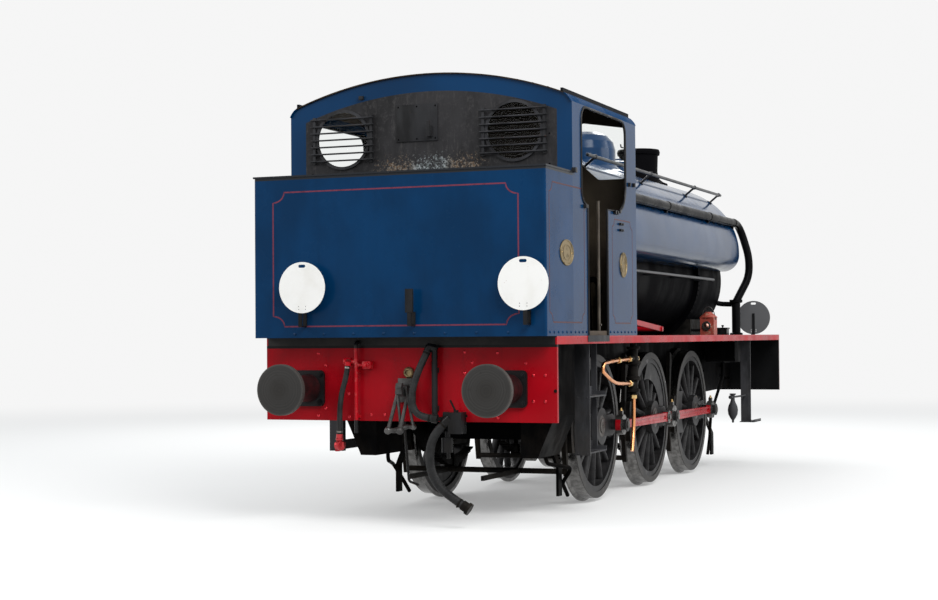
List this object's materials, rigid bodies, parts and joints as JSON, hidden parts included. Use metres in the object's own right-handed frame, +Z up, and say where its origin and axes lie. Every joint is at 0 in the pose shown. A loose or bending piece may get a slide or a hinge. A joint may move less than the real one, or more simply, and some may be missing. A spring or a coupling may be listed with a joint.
{
  "type": "saddle tank steam locomotive",
  "caption": "Small shunting steam locomotive with a saddle tank over the boiler, coupled spoked wheels, enclosed cab and rear coal bunker, on standard-gauge flanged wheels.",
  "frame": {"origin": "on the floor under the middle axle, which is half way along the length over the buffers", "axes": "+X to the chimney end, +Y to the locomotive's left, +Z up"},
  "size_m": [9.246, 2.6, 3.645],
  "materials": {
    "blue_paint": "gloss, deep blue",
    "red_paint": "satin red",
    "black_paint": "satin black, oily",
    "smokebox_black": "matt heat-proof black",
    "roof_black": "satin black, weathered",
    "frame_steel": "oily black",
    "wheel_paint": "satin black, dusty",
    "tyre_steel": "rolled bright tread, rusty sides",
    "axle_steel": "oily machined steel",
    "buffer_steel": "dark greased steel",
    "casting": "oily cast iron",
    "rod_red": "gloss red with bright ends",
    "copper": "bright copper pipe",
    "brass": "polished brass",
    "cab_wood": "worn boards",
    "glass": "clear, a little sooty",
    "rubber": "aged rubber hose",
    "white_enamel": "white enamel",
    "lamp_red": "worn red paint",
    "rail_steel": "handled steel"
  },
  "bodies": {
    "root": {"frame_plates": "frame_steel", "frame_stretchers": "frame_steel", "axleboxes": "casting", "leaf_springs": "frame_steel", "brake_gear": "casting", "cylinder_block": "casting", "buffer_beams": "red_paint", "running_plate": "black_paint", "valances": "red_paint", "buffer_housings": "casting", "buffer_heads": "buffer_steel", "drawgear": "casting", "cab_side_left": "blue_paint", "cab_side_right": "blue_paint", "cab_back_sheet": "blue_paint", "cab_front_sheet": "blue_paint", "cab_roof": "roof_black", "cab_floor": "cab_wood", "bunker": "blue_paint", "spectacle_frames": "black_paint", "window_glass": "glass", "handrails": "rail_steel", "boiler": "smokebox_black", "firebox": "smokebox_black", "smokebox": "smokebox_black", "saddle_tank": "blue_paint", "chimney": "smokebox_black", "dome": "blue_paint", "safety_valves": "brass", "backhead_fittings": "brass", "reversing_gear": "rod_red", "cab_steps": "black_paint", "front_steps": "black_paint", "injectors": "casting", "copper_pipes": "copper", "sand_gear": "black_paint", "ejector_pipe": "black_paint", "lamp_irons": "black_paint", "headcode_discs": "white_enamel", "hand_lamp": "lamp_red", "beam_pipes": "black_paint", "air_pipe": "red_paint", "air_hose": "rubber", "vacuum_hose": "rubber", "heating_hose": "rubber", "air_hose_head": "red_paint", "heating_hose_end": "casting"},
    "wheelset_rear": {"tyres_rear": "tyre_steel", "wheel_centres_rear": "wheel_paint", "axle_rear": "axle_steel"},
    "wheelset_middle": {"tyres_middle": "tyre_steel", "wheel_centres_middle": "wheel_paint", "axle_middle": "axle_steel"},
    "wheelset_front": {"tyres_front": "tyre_steel", "wheel_centres_front": "wheel_paint", "axle_front": "axle_steel"},
    "rod_left": {"coupling_rod_left": "rod_red"},
    "rod_right": {"coupling_rod_right": "rod_red"},
    "door": {"smokebox_door": "smokebox_black"},
    "filler_lid": {"tank_filler_lid": "blue_paint"}
  },
  "joints": [
    {"name": "axle_middle_spin", "type": "hinge", "parent": "root", "child": "wheelset_middle", "pos_m": [0, 0, 0.6755], "axis": [0, 1, 0], "continuous": true},
    {"name": "axle_rear_spin", "type": "hinge", "parent": "root", "child": "wheelset_rear", "pos_m": [-1.753, 0, 0.6755], "axis": [0, 1, 0], "continuous": true},
    {"name": "axle_front_spin", "type": "hinge", "parent": "root", "child": "wheelset_front", "pos_m": [1.6, 0, 0.6755], "axis": [0, 1, 0], "continuous": true},
    {"name": "rod_right_pivot", "type": "hinge", "parent": "wheelset_middle", "child": "rod_right", "pos_m": [0.3, -0.951, 0.6755], "axis": [0, 1, 0], "continuous": true},
    {"name": "rod_left_pivot", "type": "hinge", "parent": "wheelset_middle", "child": "rod_left", "pos_m": [0, 0.951, 0.9755], "axis": [0, 1, 0], "continuous": true},
    {"name": "smokebox_door_hinge", "type": "hinge", "parent": "root", "child": "door", "pos_m": [3.402, 0.672, 2.128], "axis": [0, 0, 1], "range_deg": [0, 90]},
    {"name": "filler_lid_hinge", "type": "hinge", "parent": "root", "child": "filler_lid", "pos_m": [1.184, 0, 3.372], "axis": [0, -1, 0], "range_deg": [0, 110]}
  ],
  "couplings": [
    {"joint": "axle_rear_spin", "follows": "axle_middle_spin", "ratio": 1},
    {"joint": "axle_front_spin", "follows": "axle_middle_spin", "ratio": 1},
    {"joint": "rod_right_pivot", "follows": "axle_middle_spin", "ratio": -1},
    {"joint": "rod_left_pivot", "follows": "axle_middle_spin", "ratio": -1}
  ]
}
